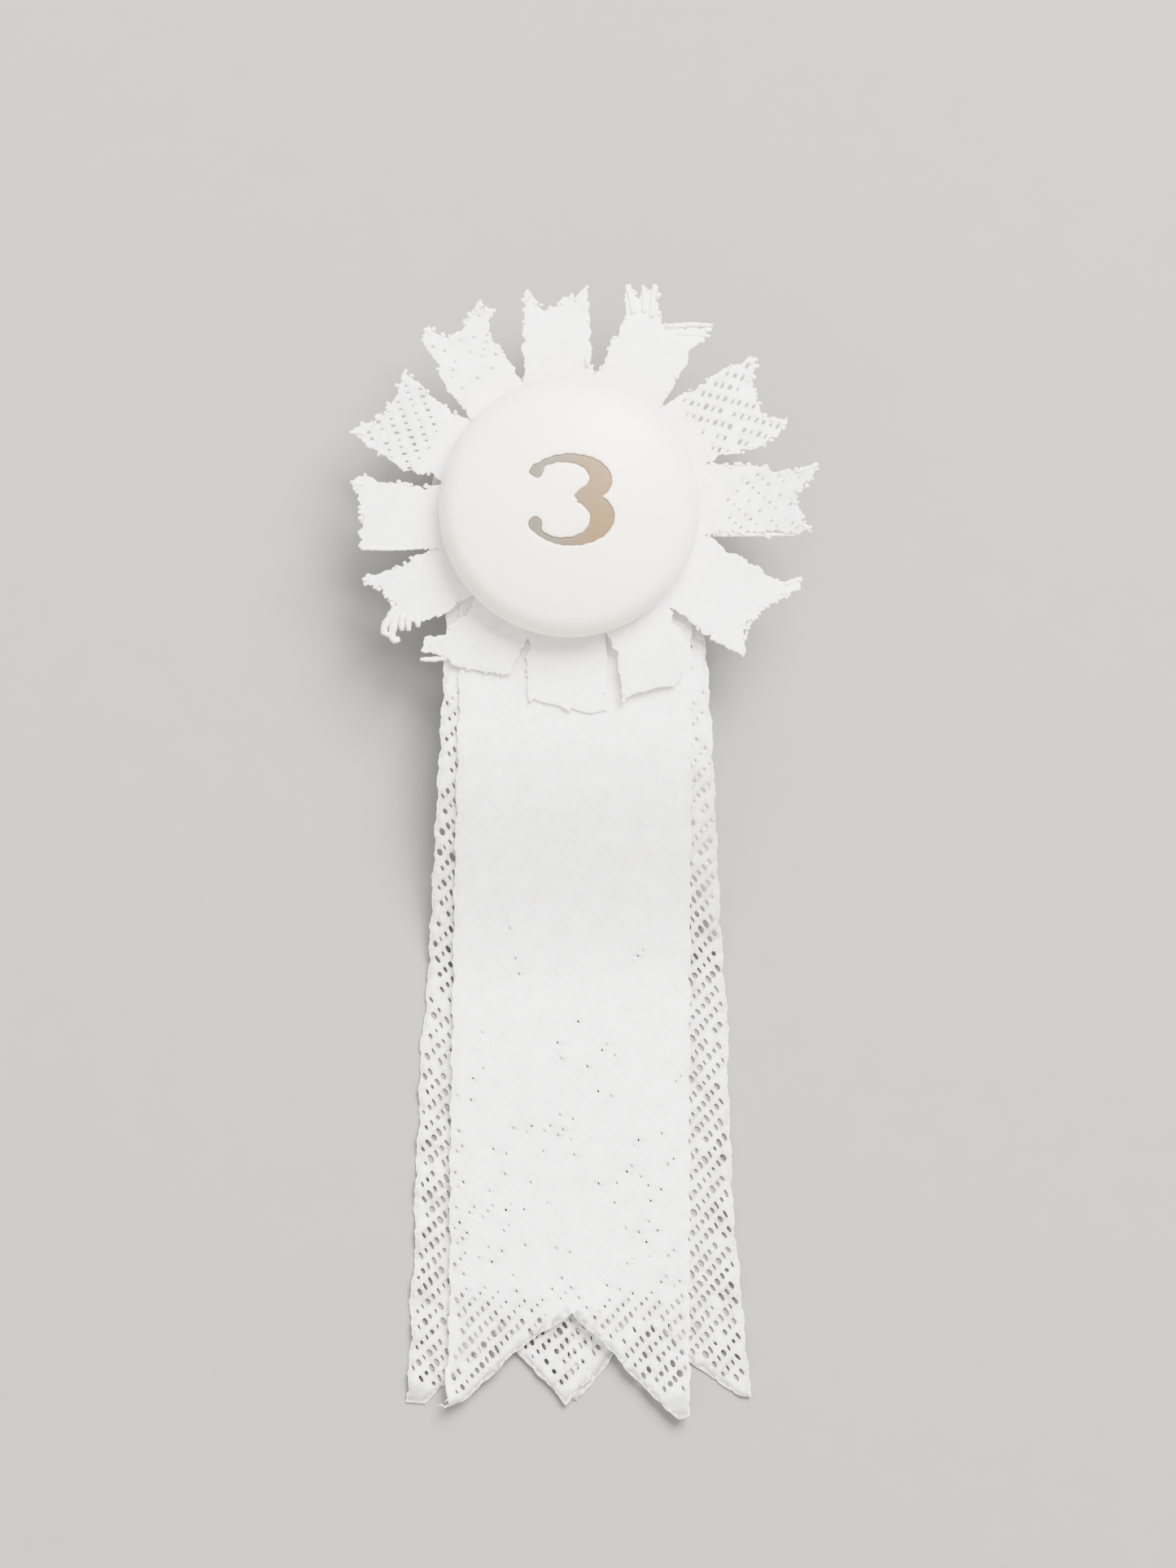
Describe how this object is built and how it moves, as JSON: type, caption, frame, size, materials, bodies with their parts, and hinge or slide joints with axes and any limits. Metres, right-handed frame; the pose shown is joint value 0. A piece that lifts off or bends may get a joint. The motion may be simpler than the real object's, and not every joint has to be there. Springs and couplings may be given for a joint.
{
  "type": "award ribbon",
  "caption": "Small white award rosette with a domed numbered button, crossed petal strips, swallow-tailed ribbons and a bar pin with a safety catch.",
  "frame": {"origin": "under the middle of the whole part, on the surface it lies on face up", "axes": "+Z out of the button's face, +Y from the tails towards the top of the rosette, +X to the right seen from the front"},
  "size_m": [0.0256, 0.0626, 0.0105],
  "materials": {
    "button_shell": "smooth domed moulding with a soft gloss",
    "numeral_foil": "pale gold foil, satin",
    "petal_tape": "open woven tape with raw, fraying edges",
    "tail_tape": "open woven tape, heat-sealed at the cuts",
    "backing_felt": "stiff pressed felt",
    "glue": "clouded hot-melt glue",
    "wire": "drawn steel wire",
    "pin_metal": "nickel plate"
  },
  "bodies": {
    "rosette": {"button": "button_shell", "numeral": "numeral_foil", "button_glue": "glue", "staple": "wire", "petal_strip_1": "petal_tape", "petal_strip_2": "petal_tape", "petal_strip_3": "petal_tape", "petal_strip_4": "petal_tape", "petal_strip_5": "petal_tape", "petal_strip_6": "petal_tape", "front_tail_root": "tail_tape", "rear_left_root": "tail_tape", "rear_right_root": "tail_tape", "backing_disc": "backing_felt", "backing_glue": "glue", "pin_glue": "glue", "pin_base": "pin_metal", "pin_rivet": "pin_metal"},
    "front_tail": {"front_tail": "tail_tape"},
    "rear_left_tail": {"rear_left_tail": "tail_tape"},
    "rear_right_tail": {"rear_right_tail": "tail_tape"},
    "needle": {"pin_needle": "pin_metal"},
    "catch": {"pin_catch": "pin_metal"}
  },
  "joints": [
    {"name": "front_tail_fold", "type": "hinge", "parent": "rosette", "child": "front_tail", "pos_m": [-0.0009, 0.0068, 0.00523], "axis": [-1, 0, 0], "range_deg": [0, 85]},
    {"name": "rear_left_fold", "type": "hinge", "parent": "rosette", "child": "rear_left_tail", "pos_m": [-0.0009, 0.0068, 0.00523], "axis": [-1, 0, 0], "range_deg": [-85, 0]},
    {"name": "rear_right_fold", "type": "hinge", "parent": "rosette", "child": "rear_right_tail", "pos_m": [-0.0009, 0.0068, 0.00523], "axis": [-1, 0, 0], "range_deg": [-85, 0]},
    {"name": "needle_swing", "type": "hinge", "parent": "rosette", "child": "needle", "pos_m": [-0.0068, 0.0205, 0.00154], "axis": [0, 1, 0], "range_deg": [0, 100]},
    {"name": "catch_turn", "type": "hinge", "parent": "rosette", "child": "catch", "pos_m": [0.0052, 0.0205, 0.00154], "axis": [1, 0, 0], "range_deg": [0, 90]}
  ],
  "couplings": [
    {"joint": "rear_right_fold", "follows": "rear_left_fold", "ratio": 1}
  ]
}
